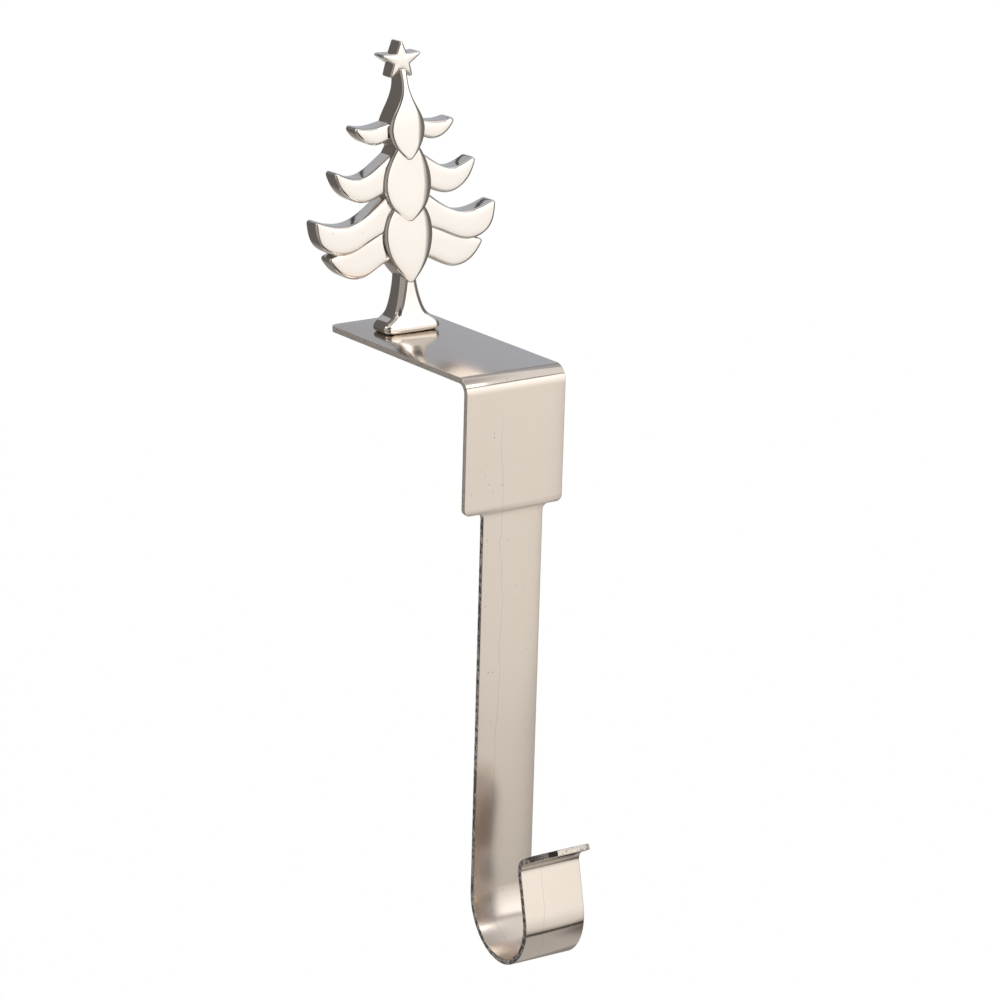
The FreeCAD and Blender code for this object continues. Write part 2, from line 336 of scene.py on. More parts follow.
# %% How deep the front lies
SOFTENING_ROUNDS = 3


def outline_distance(points, outline):
    """Shortest distance from each point to the outline's line."""
    start, step = outline[:-1], np.diff(outline, axis=0)
    length = np.maximum((step ** 2).sum(axis=1), SAME ** 2)
    away = points[:, None, :] - start[None, :, :]
    share = np.clip((away * step[None]).sum(axis=2) / length[None], 0, 1)
    gap = away - share[..., None] * step[None]
    return np.sqrt((gap ** 2).sum(axis=2)).min(axis=1)


def fallen(radius, away):
    """How far a round of this radius has fallen back at a distance from its top."""
    return radius - np.sqrt(radius ** 2 - away ** 2)


def rolled(distance, radius):
    """How far a rim of this radius drops back at a distance from the edge."""
    return fallen(radius, np.clip(radius - distance, 0, radius))


def pillow(distance, reach, drop):
    """How far a front sinks towards its edge, from nothing at its reach."""
    return drop * np.clip(1 - distance / reach, 0, 1) ** 2


def softened(depth, shape):
    """The same depths with the ridge between the two flanks worn down."""
    rows = depth.reshape(shape).copy()
    rim = len(RIM_ANGLES)
    for _ in range(SOFTENING_ROUNDS):
        rows[:, rim:-rim] = (rows[:, rim - 1:-rim - 1] + 2 * rows[:, rim:-rim] + rows[:, rim + 1:1 - rim]) / 4
    return rows.ravel()


# %% A slab from two sides
BACK_RIM = 0.8
WELD = 0.002
SLIVER = 0.0001


def join_rings(body, rings):
    """Faces between each closed ring of corners and the next one."""
    for here, there in zip(rings, rings[1:]):
        for i in range(len(here)):
            j = (i + 1) % len(here)
            body.faces.new((here[i], here[j], there[j], there[i]))


def border(rows, columns):
    """Places around a grid, once around, as (row, column)."""
    loop = [(0, k) for k in range(columns)] + [(j, columns - 1) for j in range(1, rows)]
    loop += [(rows - 1, k) for k in range(columns - 2, -1, -1)]
    return loop + [(j, 0) for j in range(rows - 2, 0, -1)]


def slab(name, first, second, front, back, rim, sag):
    """A closed slab between two sides; front gives the depth for x and height."""
    rows = []
    for a, b in zip(first, second):
        width = max(np.linalg.norm(b - a), SAME)
        rows.append(a + row_shares(width, rim)[:, None] * (b - a))
    grid = np.array(rows)
    shape = grid.shape[:2]
    flat = grid.reshape(-1, 2)
    distance = outline_distance(flat, np.concatenate([first, second[::-1]]))
    distance[distance < SAME] = 0
    face = softened(front(flat[:, 0], flat[:, 1]) + pillow(distance, *sag), shape)
    body = bmesh.new()
    layers = []
    for depth in (face + rolled(distance, rim), back - rolled(distance, BACK_RIM)):
        layer = [body.verts.new(place(x, y, height + SHEET)) for (x, height), y in zip(flat, depth)]
        layers.append(np.array(layer, dtype=object).reshape(shape))
    for layer in layers:
        for j in range(shape[0] - 1):
            for k in range(shape[1] - 1):
                body.faces.new((layer[j][k], layer[j + 1][k], layer[j + 1][k + 1], layer[j][k + 1]))
    join_rings(body, [[layer[corner] for corner in border(*shape)] for layer in layers])
    bmesh.ops.remove_doubles(body, verts=body.verts[:], dist=WELD * MM)
    bmesh.ops.dissolve_degenerate(body, edges=body.edges[:], dist=SLIVER * MM)
    return closed_piece(name, body)


# %% [markdown]
# ## Branches
# Each tier has one branch left and one right: a sickle that droops from the trunk
# and turns up at its tip. Two curves are enough for it, one above and one below.

# %% Branch outlines, as distance from the middle and height above the plate
# The backs of neighbouring forms differ by hundredths, which keeps their union clean.
CAST_BACK = 53.0
BRANCH_DEPTHS = (47.3, CAST_BACK - 0.06)
LOWEST_DEPTHS = (47.7, CAST_BACK - 0.1)
BRANCH_TIP = 0.8
BRANCH_RIM = 0.6
BRANCH_PILLOW = (1.6, 0.22)
BRANCH_CURVE = 160
BRANCH_ROWS = 46
BRANCH_EASE = 1.7

BRANCHES = {
    "top": ([(0.6, 50.4), (5.0, 49.5), (9.6, 48.9), (13.9, 49.8)],
            [(0.6, 47.3), (4.2, 45.8), (7.8, 44.8), (11.5, 46.4), (13.9, 49.8)]),
    "middle": ([(0.6, 44.6), (6.4, 40.4), (12.0, 37.6), (19.2, 40.2)],
               [(0.6, 36.3), (6.2, 33.2), (11.6, 31.7), (16.5, 34.3), (19.2, 40.2)]),
    "low": ([(0.6, 36.5), (6.8, 31.3), (15.6, 26.8), (24.1, 28.9)],
            [(0.6, 25.8), (9.6, 22.4), (16.4, 19.9), (22.2, 22.1), (24.1, 28.9)]),
    "lowest": ([(0.6, 25.4), (9.0, 23.6), (15.5, 21.3), (20.8, 19.4)],
               [(0.6, 18.8), (7.4, 16.0), (12.0, 13.9), (17.5, 15.3), (20.8, 19.4)]),
}


def make_branch(name, side):
    sides = rounded_tip(*[spline(points, BRANCH_CURVE) for points in BRANCHES[name]], BRANCH_TIP)
    upper, lower = [along_line(line, BRANCH_ROWS, BRANCH_EASE) * (side, 1) for line in sides]
    front, back = LOWEST_DEPTHS if name == "lowest" else BRANCH_DEPTHS
    label = "right" if side > 0 else "left"
    return slab(f"{name}_branch_{label}", upper, lower, lambda x, z: np.full(len(x), front), back,
                BRANCH_RIM, BRANCH_PILLOW)


branches = [make_branch(name, side) for name in BRANCHES for side in (-1, 1)]
for branch in branches:
    report(branch)

# %% [markdown]
# ## Leaves
# Three leaves overlap down the middle like scales. Each has a slight crown across
# its width and leans forward at its lower tip, so it covers the top of the next.
# Below its widest place it also bows back a little. The top one narrows into the
# neck that carries the star, and bends back to it.

# %% Leaf outlines and crowned fronts
LEAF_FRONT = {"top": 45.45, "middle": 45.6, "bottom": 45.7}
LEAF_BACK = {"top": CAST_BACK - 0.02, "middle": CAST_BACK - 0.03, "bottom": CAST_BACK - 0.04}
LEAF_CROWN = {"top": 13.5, "middle": 22.5, "bottom": 23.5}
LEAF_PILLOW = {"top": (1.2, 0.1), "middle": (1.6, 0.15), "bottom": (1.6, 0.15)}
LEAF_TILT = 1.2
LEAF_BOW = 0.0022
NECK_BEND = 46.0
LEAF_TIP = 1.4
LEAF_RIM = 0.5
LEAF_CURVE = 200
LEAF_ROWS = 52
LEAF_EASE = 1.5

LEAVES = {
    "top": [(0.9, 61.6), (0.95, 57.3), (2.6, 53.2), (4.65, 48.3), (3.45, 44.2), (0, 40.3)],
    "middle": [(2.3, 44.8), (4.65, 40.9), (6.2, 34.6), (4.6, 29.9), (0, 26.0)],
    "bottom": [(3.3, 30.7), (5.2, 28.0), (6.3, 24.0), (4.9, 17.4), (0, 11.15)],
}


def make_leaf(name):
    widest = max(LEAVES[name])[1]
    right = spline(LEAVES[name], LEAF_CURVE)
    sides = rounded_tip(right * (-1, 1), right, LEAF_TIP)
    left, right = [along_line(line, LEAF_ROWS, LEAF_EASE) for line in sides]

    def front(x, z):
        over = np.clip(z - widest, 0, None) * (name == "top")
        under = np.clip(widest - z, 0, None)
        lean = (z - widest) * math.tan(math.radians(LEAF_TILT))
        crown = fallen(LEAF_CROWN[name], x) + LEAF_BOW * under ** 2
        return LEAF_FRONT[name] + lean + crown + fallen(NECK_BEND, over)

    return slab(f"{name}_leaf", left, right, front, LEAF_BACK[name], LEAF_RIM, LEAF_PILLOW[name])


leaves = [make_leaf(name) for name in LEAVES]
for leaf in leaves:
    report(leaf)

# %% [markdown]
# ## Star
# Five arms around one centre. Here the grid runs out from the centre to the outline,
# because every arm can be seen from there. The arms' tips are rounded, and the lower
# arms bow back a little.

# %% Outline of the star
STAR_SIDE = [(0, 68.84), (1.4, 65.3), (6.0, 65.5), (2.15, 62.8), (3.2, 59.2), (0, 61.3)]
STAR_TIP = 0.45
STAR_TIP_STEPS = 4
STAR_SPACING = 0.4
ARM_POINTS = 40
TIP_POINTS = 9


def star_outline():
    """The outline point by point, with each outer tip rounded."""
    other = [(-x, z) for x, z in reversed(STAR_SIDE[1:-1])]
    corners = [np.array(corner, dtype=float) for corner in STAR_SIDE + other]
    outline = []
    for i, corner in enumerate(corners):
        if i % 2:
            outline.append(corner)
            continue
        before, after = corners[i - 1], corners[(i + 1) % len(corners)]
        arms = [np.linspace(0, 1, ARM_POINTS)[:, None] * (corner - end) + end for end in (before, after)]
        one, two = rounded_tip(*arms, STAR_TIP, STAR_TIP_STEPS)
        outline += list(one[-TIP_POINTS:]) + list(two[-TIP_POINTS:-1][::-1])
    dense = []
    for here, there in zip(outline, outline[1:] + outline[:1]):
        steps = max(1, round(float(np.linalg.norm(there - here)) / STAR_SPACING))
        dense += [here + (there - here) * i / steps for i in range(steps)]
    return np.array(dense)


# %% Make the star
STAR_CENTRE = np.array((0, 63.6))
STAR_FRONT = 48.3
STAR_BACK = CAST_BACK - 0.04
STAR_RIM = 0.35
STAR_BACK_RIM = 0.3
STAR_PILLOW = (1.6, 0.2)
STAR_BOW = 0.03
NO_PILLOW = (1, 0)
STAR_SHARES = [1, 0.985, 0.965, 0.94, 0.9, 0.85, 0.75, 0.6, 0.4, 0.2]


def star_face(body, outline, depth, backward, rim, sag, bow):
    """Rings from the outline to the centre, closed by a fan; gives the outer ring."""
    closed = np.concatenate([outline, outline[:1]])
    rings = []
    for share in STAR_SHARES:
        points = STAR_CENTRE + (outline - STAR_CENTRE) * share
        inward = outline_distance(points, closed) * (share < 1)
        low = np.clip(STAR_CENTRE[1] - points[:, 1], 0, None)
        drop = rolled(inward, rim) + pillow(inward, *sag) + bow * low ** 2
        rings.append([body.verts.new(place(x, depth + backward * d, z + SHEET))
                      for (x, z), d in zip(points, drop)])
    middle = body.verts.new(place(STAR_CENTRE[0], depth, STAR_CENTRE[1] + SHEET))
    join_rings(body, rings)
    last = rings[-1]
    for i in range(len(last)):
        body.faces.new((last[i], last[(i + 1) % len(last)], middle))
    return rings[0]


def make_star():
    outline = star_outline()
    body = bmesh.new()
    near = star_face(body, outline, STAR_FRONT, 1, STAR_RIM, STAR_PILLOW, STAR_BOW)
    far = star_face(body, outline, STAR_BACK, -1, STAR_BACK_RIM, NO_PILLOW, 0)
    join_rings(body, [near, far])
    return closed_piece("star", body)


star = make_star()
report(star)

# %% [markdown]
# ## Trunk and foot
# The trunk is a soft-cornered bar that flares into a foot with a thin standing rim.
# A stack of rounded rectangles follows both side views of it, from the plate up to
# inside the lowest leaf. The rows are closer in the foot, where the side views turn.

# %% Side views of the trunk
CAST_DEPTH = 8.2
FOOT_HALF = 7.5
FOOT_SIDE = [(6.6, 0), (7.25, 0.45), (FOOT_HALF, 1.2), (6.8, 2.5), (4.6, 4.2),
             (3.4, 6.6), (2.5, 10.2), (2.1, 14.0), (2.9, 19.0)]
FOOT_FRONT = [(0.8, 0), (0.15, 0.5), (0, 1.2), (0.3, 2.6), (0.7, 4.6),
              (1.15, 8.0), (1.4, 12.0), (1.4, 19.0)]
FOOT_CURVE = 400
TRUNK_BACK = CAST_BACK - 0.06
TRUNK_STRETCHES = ((0, 5), (5.3, 18.8))
STRETCH_ROWS = 30
CORNER_SHARE = 0.8
CORNER_MOST = 1.7
TRUNK_BULGE = 0.42
FRONT_POINTS = 11


def rounded_ring(half, front, radius):
    """A rectangle with round corners, whose front swells towards the middle."""
    ring = []
    for sx, sy, first in ((1, 1, 0), (-1, 1, 90), (-1, -1, 180), (1, -1, 270)):
        edge = TRUNK_BACK if sy > 0 else front
        centre = (sx * (half - radius), edge - sy * radius)
        ring += corner_arc(centre, radius, first, first + 90, WIDE_ARC_POINTS)
        if (sx, sy) == (-1, -1):
            ring += [(x, front) for x in np.linspace(radius - half, half - radius, FRONT_POINTS)[1:-1]]
    middle = (front + TRUNK_BACK) / 2
    return [(x, y + TRUNK_BULGE * (x / half) ** 2 * (y < middle)) for x, y in ring]


# %% Stack the rings of the trunk
def stacked(name, outlines):
    """A closed piece from outlines of equally many points, one above the other."""
    body = bmesh.new()
    rings = [[body.verts.new(place(*point)) for point in outline] for outline in outlines]
    join_rings(body, rings)
    body.faces.new(rings[0])
    body.faces.new(rings[-1])
    return closed_piece(name, body)


def make_trunk():
    sides, insets = spline(FOOT_SIDE, FOOT_CURVE), spline(FOOT_FRONT, FOOT_CURVE)
    outlines = []
    for height in np.concatenate([np.linspace(*stretch, STRETCH_ROWS) for stretch in TRUNK_STRETCHES]):
        half = np.interp(height, sides[:, 1], sides[:, 0])
        front = CAST_BACK - CAST_DEPTH + np.interp(height, insets[:, 1], insets[:, 0])
        ring = rounded_ring(half, front, min(CORNER_SHARE * half, CORNER_MOST))
        outlines.append([(x, y, height + SHEET) for x, y in ring])
    return stacked("trunk", outlines)


trunk = make_trunk()
report(trunk)

# %% [markdown]
# ## One casting
# On the real piece there is no joint between leaf and branch: they leave the mould
# together. So the closed forms are united into one skin, which also removes every
# face that would lie hidden inside.

# %% Unite the forms
CREASE = 35


def combine(base, others, operation):
    """Applies one exact boolean for each of the others, and then removes them."""
    for other in others:
        step = base.modifiers.new(other.name, "BOOLEAN")
        step.operation = operation
        step.solver = "EXACT"
        step.object = other
    graph = bpy.context.evaluated_depsgraph_get()
    mesh = bpy.data.meshes.new_from_object(base.evaluated_get(graph))
    base.modifiers.clear()
    base.data = mesh
    for other in others:
        bpy.data.objects.remove(other, do_unlink=True)


combine(trunk, leaves + branches + [star], "UNION")
cast_tree = trunk
cast_tree.name = "cast_tree"
cast_tree.data.name = "cast_tree"
smooth_by_angle(cast_tree, CREASE)
report(cast_tree)
check = bmesh.new()
check.from_mesh(cast_tree.data)
print("open edges", sum(1 for edge in check.edges if not edge.is_manifold))
check.free()

# %% [markdown]
# ## Screws
# Two countersunk screws hold the casting from below. Only their flush heads show,
# and only from underneath, each with a cross recess. The seats in the plate are cut
# with turned bodies that reach a little beyond the sheet on both sides.

# %% Sizes of the screws and their seats
FOOT_CENTRE = CAST_BACK - CAST_DEPTH / 2
SCREW_GAP = 6.4
HEAD_RADIUS = 2.35
HEAD_BEVEL = (0.06, 0.05)
HEAD_SINK = 0.1
SHANK_RADIUS = 1.25
SHANK_BEVEL = 0.3
SCREW_TOP = SHEET + 3.0
SEAT_GROWTH = 0.15
RECESS_LONG, RECESS_WIDE, RECESS_DEEP = 2.4, 0.6, 0.7
CUT_MARGIN = 1
ROUND_STEPS = 48
SHEET_CREASE = 40

# %% Make the screws and their seats
def turned(name, profile, x):
    """A solid of revolution about a vertical line, from (radius, height) points."""
    angles = np.linspace(0, 2 * math.pi, ROUND_STEPS, endpoint=False)
    return stacked(name, [[(x + radius * math.cos(a), FOOT_CENTRE + radius * math.sin(a), z) for a in angles]
                          for radius, z in profile])


def recess_bar(name, x, long, wide):
    """A bar that cuts one arm of the cross recess, from below the plate upwards."""
    corners = [(x + sx * long / 2, FOOT_CENTRE + sy * wide / 2)
               for sx, sy in ((-1, -1), (1, -1), (1, 1), (-1, 1))]
    heights = (-CUT_MARGIN, HEAD_SINK + RECESS_DEEP)
    return stacked(name, [[(*corner, z) for corner in corners] for z in heights])


def make_screw(x):
    bevel_in, bevel_up = HEAD_BEVEL
    profile = [(HEAD_RADIUS - bevel_in, HEAD_SINK), (HEAD_RADIUS, HEAD_SINK + bevel_up),
               (SHANK_RADIUS, HEAD_SINK + HEAD_RADIUS - SHANK_RADIUS),
               (SHANK_RADIUS, SCREW_TOP - SHANK_BEVEL), (SHANK_RADIUS - SHANK_BEVEL, SCREW_TOP)]
    screw = turned("screw_right" if x > 0 else "screw_left", profile, x)
    combine(screw, [recess_bar("slot_x", x, RECESS_LONG, RECESS_WIDE),
                    recess_bar("slot_y", x, RECESS_WIDE, RECESS_LONG)], "DIFFERENCE")
    smooth_by_angle(screw, CREASE)
    return screw


def screw_seat(x):
    wide, shank = HEAD_RADIUS + SEAT_GROWTH, SHANK_RADIUS + SEAT_GROWTH
    profile = [(wide + CUT_MARGIN, -CUT_MARGIN), (wide, 0),
               (shank, wide - shank), (shank, SHEET + CUT_MARGIN)]
    return turned("seat", profile, x)


screws = [make_screw(side * SCREW_GAP / 2) for side in (-1, 1)]
combine(bent_strip, [screw_seat(side * SCREW_GAP / 2) for side in (-1, 1)], "DIFFERENCE")
smooth_by_angle(bent_strip, SHEET_CREASE)
for piece in [bent_strip] + screws:
    report(piece)

# %% [markdown]
# ## Metal
# All of it is plated metal, and metal is mostly what it reflects. So the finishes
# differ in how blurred the reflection is, how flat the surface lies, and what marks
# it has. Two effects repeat and are node groups: a slow waviness that bends the
# reflection, and small pits and specks in the plating.

# %% Helpers for shader trees
def new_group(name, values, results):
    """A group with a vector input, number inputs with these values, and number outputs."""
    group = bpy.data.node_groups.new(name, "ShaderNodeTree")
    group.interface.new_socket(name="Vector", in_out="INPUT", socket_type="NodeSocketVector")
    for label, value in values.items():
        socket = group.interface.new_socket(name=label, in_out="INPUT", socket_type="NodeSocketFloat")
        socket.default_value = value
    for label in results:
        group.interface.new_socket(name=label, in_out="OUTPUT", socket_type="NodeSocketFloat")
    return group, group.nodes.new("NodeGroupInput"), group.nodes.new("NodeGroupOutput")


def math_node(tree, operation, *values):
    """One step of arithmetic; each value is a number or another node's output."""
    node = tree.nodes.new("ShaderNodeMath")
    node.operation = operation
    for socket, value in zip(node.inputs, values):
        if isinstance(value, (int, float)):
            socket.default_value = value
        else:
            tree.links.new(value, socket)
    return node.outputs[0]


def split_axes(tree, vector):
    node = tree.nodes.new("ShaderNodeSeparateXYZ")
    tree.links.new(vector, node.inputs[0])
    return node.outputs


def noise(tree, vector, scale, detail):
    node = tree.nodes.new("ShaderNodeTexNoise")
    node.inputs["Detail"].default_value = detail
    tree.links.new(vector, node.inputs["Vector"])
    tree.links.new(scale, node.inputs["Scale"])
    return node.outputs["Fac"]


# %% Shader groups for waviness and specks
# So many fine waves lie along one slow wave.
FINE_WAVES = 9.0


def waviness_group():
    """Height of a surface that was polished or rolled, in two sizes of wave."""
    group, given, out = new_group("waviness", {"Wave per mm": 0.2, "Fine share": 0.2}, ["Height"])
    size = math_node(group, "MULTIPLY", given.outputs["Wave per mm"], 1 / MM)
    fine_size = math_node(group, "MULTIPLY", size, FINE_WAVES)
    slow = noise(group, given.outputs["Vector"], size, detail=1.0)
    fine = noise(group, given.outputs["Vector"], fine_size, detail=3.0)
    part = math_node(group, "MULTIPLY", fine, given.outputs["Fine share"])
    group.links.new(math_node(group, "ADD", slow, part), out.inputs["Height"])
    return group


def specks_group():
    """A mask of small round pits: one in some of the cells of a scattered grid."""
    values = {"Cells per mm": 0.8, "Speck size": 0.12, "Share": 0.3}
    group, given, out = new_group("plating_specks", values, ["Mask"])
    cells = group.nodes.new("ShaderNodeTexVoronoi")
    group.links.new(given.outputs["Vector"], cells.inputs["Vector"])
    scale = math_node(group, "MULTIPLY", given.outputs["Cells per mm"], 1 / MM)
    group.links.new(scale, cells.inputs["Scale"])
    tone = group.nodes.new("ShaderNodeSeparateColor")
    group.links.new(cells.outputs["Color"], tone.inputs[0])
    size = math_node(group, "MULTIPLY", given.outputs["Speck size"], tone.outputs[1])
    inside = math_node(group, "LESS_THAN", cells.outputs["Distance"], size)
    chosen = math_node(group, "LESS_THAN", tone.outputs[0], given.outputs["Share"])
    group.links.new(math_node(group, "MULTIPLY", inside, chosen), out.inputs["Mask"])
    return group


WAVINESS = waviness_group()
SPECKS = specks_group()
print("groups", [group.name for group in bpy.data.node_groups])


# %% A metal from its values
def new_metal(name):
    metal = bpy.data.materials.new(name)
    metal.use_nodes = True
    tree = metal.node_tree
    shader = tree.nodes["Principled BSDF"]
    shader.inputs["Metallic"].default_value = 1.0
    where = tree.nodes.new("ShaderNodeTexCoord").outputs["Object"]
    return metal, tree, shader, where


def use_group(tree, group, vector, **values):
    """Places a group in a tree; a value's name has underscores for spaces."""
    node = tree.nodes.new("ShaderNodeGroup")
    node.node_tree = group
    tree.links.new(vector, node.inputs["Vector"])
    for label, value in values.items():
        node.inputs[label.replace("_", " ")].default_value = value
    return node.outputs


def mix_colours(tree, factor, first, second):
    """From the first to the second as the factor rises; each is a colour or an output."""
    node = tree.nodes.new("ShaderNodeMix")
    node.data_type = "RGBA"
    tree.links.new(factor, node.inputs["Factor"])
    for socket, value in ((node.inputs["A"], first), (node.inputs["B"], second)):
        if isinstance(value, tuple):
            socket.default_value = (*value, 1)
        else:
            tree.links.new(value, socket)
    return node.outputs["Result"]


def blend_values(tree, factor, low, high):
    """A number that goes from low to high as the factor rises from nothing to one."""
    node = tree.nodes.new("ShaderNodeMapRange")
    tree.links.new(factor, node.inputs["Value"])
    node.inputs["To Min"].default_value = low
    node.inputs["To Max"].default_value = high
    return node.outputs["Result"]


def ramp(tree, value, start, end):
    """From nothing to one between two places given in millimetres."""
    node = tree.nodes.new("ShaderNodeMapRange")
    node.interpolation_type = "SMOOTHSTEP"
    tree.links.new(value, node.inputs["Value"])
    node.inputs["From Min"].default_value = start * MM
    node.inputs["From Max"].default_value = end * MM
    return node.outputs["Result"]


def bump(tree, shader, height, distance_mm):
    node = tree.nodes.new("ShaderNodeBump")
    node.inputs["Distance"].default_value = distance_mm * MM
    tree.links.new(height, node.inputs["Height"])
    tree.links.new(node.outputs["Normal"], shader.inputs["Normal"])


def pitted_bump(tree, shader, waves, pits, pit_share, distance_mm):
    """Waves in the surface, with pits that are sunk by a share of a wave's height."""
    sunk = math_node(tree, "MULTIPLY", pits["Mask"], pit_share)
    bump(tree, shader, math_node(tree, "SUBTRACT", waves["Height"], sunk), distance_mm)


# %% The polished casting
CAST_PLATING = (0.775, 0.728, 0.678)
CAST_PIT = (0.45, 0.42, 0.39)


def polished_casting():
    """Buffed and plated zinc: a warm mirror with slow waves and a few pin holes."""
    metal, tree, shader, where = new_metal("polished_casting")
    waves = use_group(tree, WAVINESS, where, Wave_per_mm=0.22, Fine_share=0.06)
    pits = use_group(tree, SPECKS, where, Cells_per_mm=0.5, Speck_size=0.1, Share=0.12)
    tree.links.new(mix_colours(tree, pits["Mask"], CAST_PLATING, CAST_PIT), shader.inputs["Base Color"])
    tree.links.new(blend_values(tree, waves["Height"], low=0.05, high=0.10), shader.inputs["Roughness"])
    pitted_bump(tree, shader, waves, pits, pit_share=0.5, distance_mm=0.03)
    return metal


# %% [markdown]
# The strip was rolled, plated and handled, so its sheen is softer. It is duller still
# inside the hook and on the plate. One faint hairline wanders down it from the bend.
# Places are in millimetres in the shared frame, depth along Y and height along Z.

# %% The plated strip
SHEET_STAIN = (0.655, 0.583, 0.52)
SHEET_PLATING = (0.70, 0.623, 0.555)
SHEET_PIT = (0.42, 0.38, 0.34)
HAIRLINE = (0.57, 0.51, 0.455)
HAIRLINE_AT = -2.8
HAIRLINE_HALF = 0.08
HAIRLINE_WANDER = 6.0
HAIRLINE_HEIGHT = (-7, -10)
STAIN_MIDDLE = 0.6
# Each dull place starts over a range of depth and of height, and adds this roughness.
HOOK_DULL = ((-46, -38), (-60, -90), 0.11)
PLATE_DULL = ((-29.5, -26), (0.4, 1.2), 0.025)


def hairline_mask(tree, axes, stain):
    """A thin line below the bend that leaves its straight path with the slow stain."""
    path = math_node(tree, "MULTIPLY", math_node(tree, "SUBTRACT", stain, STAIN_MIDDLE), HAIRLINE_WANDER * MM)
    beside = math_node(tree, "SUBTRACT", math_node(tree, "SUBTRACT", axes["X"], HAIRLINE_AT * MM), path)
    line = math_node(tree, "LESS_THAN", math_node(tree, "ABSOLUTE", beside), HAIRLINE_HALF * MM)
    return math_node(tree, "MULTIPLY", line, ramp(tree, axes["Z"], *HAIRLINE_HEIGHT))


def duller(tree, axes, depths, heights, amount):
    there = math_node(tree, "MULTIPLY", ramp(tree, axes["Y"], *depths), ramp(tree, axes["Z"], *heights))
    return math_node(tree, "MULTIPLY", there, amount)


def plated_sheet():
    """Plated strip: a satin sheen with specks, faint stains and one hairline."""
    metal, tree, shader, where = new_metal("plated_sheet")
    waves = use_group(tree, WAVINESS, where, Wave_per_mm=0.12, Fine_share=0.16)
    pits = use_group(tree, SPECKS, where, Cells_per_mm=0.9, Speck_size=0.16, Share=0.2)
    stain = use_group(tree, WAVINESS, where, Wave_per_mm=0.03, Fine_share=0.25)["Height"]
    axes = split_axes(tree, where)
    colour = mix_colours(tree, stain, SHEET_STAIN, SHEET_PLATING)
    colour = mix_colours(tree, pits["Mask"], colour, SHEET_PIT)
    colour = mix_colours(tree, hairline_mask(tree, axes, stain), colour, HAIRLINE)
    tree.links.new(colour, shader.inputs["Base Color"])
    dull = math_node(tree, "ADD", duller(tree, axes, *HOOK_DULL), duller(tree, axes, *PLATE_DULL))
    satin = blend_values(tree, stain, low=0.09, high=0.15)
    tree.links.new(math_node(tree, "ADD", satin, dull), shader.inputs["Roughness"])
    pitted_bump(tree, shader, waves, pits, pit_share=0.4, distance_mm=0.016)
    return metal


# %% The sheared edge
EDGE_GRAIN = (0.68, 0.62, 0.565)
EDGE_HOLE = (0.24, 0.22, 0.20)
# Painted shade: the next three colours darken part of the strip's ends, as a dark zone, its pits and a near
# black patch.
LIP_PAINTED_SHADE = (0.15, 0.14, 0.13)
LIP_SHADE_PIT = (0.03, 0.027, 0.024)
LIP_BLACK_SHADE = (0.02, 0.018, 0.016)
LIP_BURNISHED = (0.62, 0.56, 0.49)
LIP_SPECK = (0.30, 0.26, 0.22)
EDGE_METALLIC = 0.72
# Where the zones of the strip's ends lie along X: a darkened zone with pits and a near black patch, both
# painted shade, then a burnished zone.
LIP_ZONES = (-7.0, -3.2, -0.8, 4.6)
RAGGED = 0.9


def sheared_edge():
    """The cut edge of the strip: broken grain, and three zones across its ends, two of them painted shade."""
    metal, tree, shader, where = new_metal("sheared_edge")
    grain = use_group(tree, WAVINESS, where, Wave_per_mm=0.8, Fine_share=0.9)
    pits = use_group(tree, SPECKS, where, Cells_per_mm=2.1, Speck_size=0.5, Share=0.5)
    ragged = math_node(tree, "MULTIPLY", grain["Height"], RAGGED * MM)
    across = math_node(tree, "ADD", split_axes(tree, where)["X"], ragged)
    beyond = [math_node(tree, "GREATER_THAN", across, x * MM) for x in LIP_ZONES]
    shade_zone, black_zone, smooth = [math_node(tree, "SUBTRACT", *pair) for pair in zip(beyond, beyond[1:])]
    colour = mix_colours(tree, pits["Mask"], EDGE_GRAIN, EDGE_HOLE)
    # Painted shade: two zones of the ends get a dark and a near black colour.
    colour = mix_colours(tree, shade_zone, colour, mix_colours(tree, pits["Mask"], LIP_PAINTED_SHADE, LIP_SHADE_PIT))
    colour = mix_colours(tree, black_zone, colour, LIP_BLACK_SHADE)
    colour = mix_colours(tree, smooth, colour, mix_colours(tree, pits["Mask"], LIP_BURNISHED, LIP_SPECK))
    tree.links.new(colour, shader.inputs["Base Color"])
    tree.links.new(blend_values(tree, smooth, low=0.5, high=0.16), shader.inputs["Roughness"])
    shader.inputs["Metallic"].default_value = EDGE_METALLIC
    pitted_bump(tree, shader, grain, pits, pit_share=0.6, distance_mm=0.06)
    return metal


# %% The screws' zinc
ZINC_DARK = (0.58, 0.58, 0.60)
ZINC_LIGHT = (0.70, 0.70, 0.70)


def screw_zinc():
    """Zinc on the screws: cool, satin and slightly cloudy."""
    metal, tree, shader, where = new_metal("screw_zinc")
    cloud = use_group(tree, WAVINESS, where, Wave_per_mm=0.9, Fine_share=0.4)["Height"]
    tree.links.new(mix_colours(tree, cloud, ZINC_DARK, ZINC_LIGHT), shader.inputs["Base Color"])
    shader.inputs["Roughness"].default_value = 0.3
    bump(tree, shader, cloud, distance_mm=0.02)
    return metal


# %% Give each piece its finish and its place in the frame
def finish_piece(piece, node, finishes):
    mesh = piece.data
    chosen = [face.material_index for face in mesh.polygons]
    mesh.materials.clear()
    for finish in finishes:
        mesh.materials.append(finish)
    for face, index in zip(mesh.polygons, chosen):
        face.material_index = min(index, len(finishes) - 1)
    print(piece.name, "faces of the second finish", sum(index > 0 for index in chosen))
    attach(piece, "root")
    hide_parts(node)


finish_piece(bent_strip, "bracket", [plated_sheet(), sheared_edge()])
finish_piece(cast_tree, "tree_figure", [polished_casting()])
zinc = screw_zinc()
for screw in screws:
    finish_piece(screw, "fixing_screws", [zinc])

# %% [markdown]
# ## Camera
# The camera stands where the photograph's stood: its place and turn came from
# fitting the straight edges of the bracket. A long lens keeps the edges parallel.

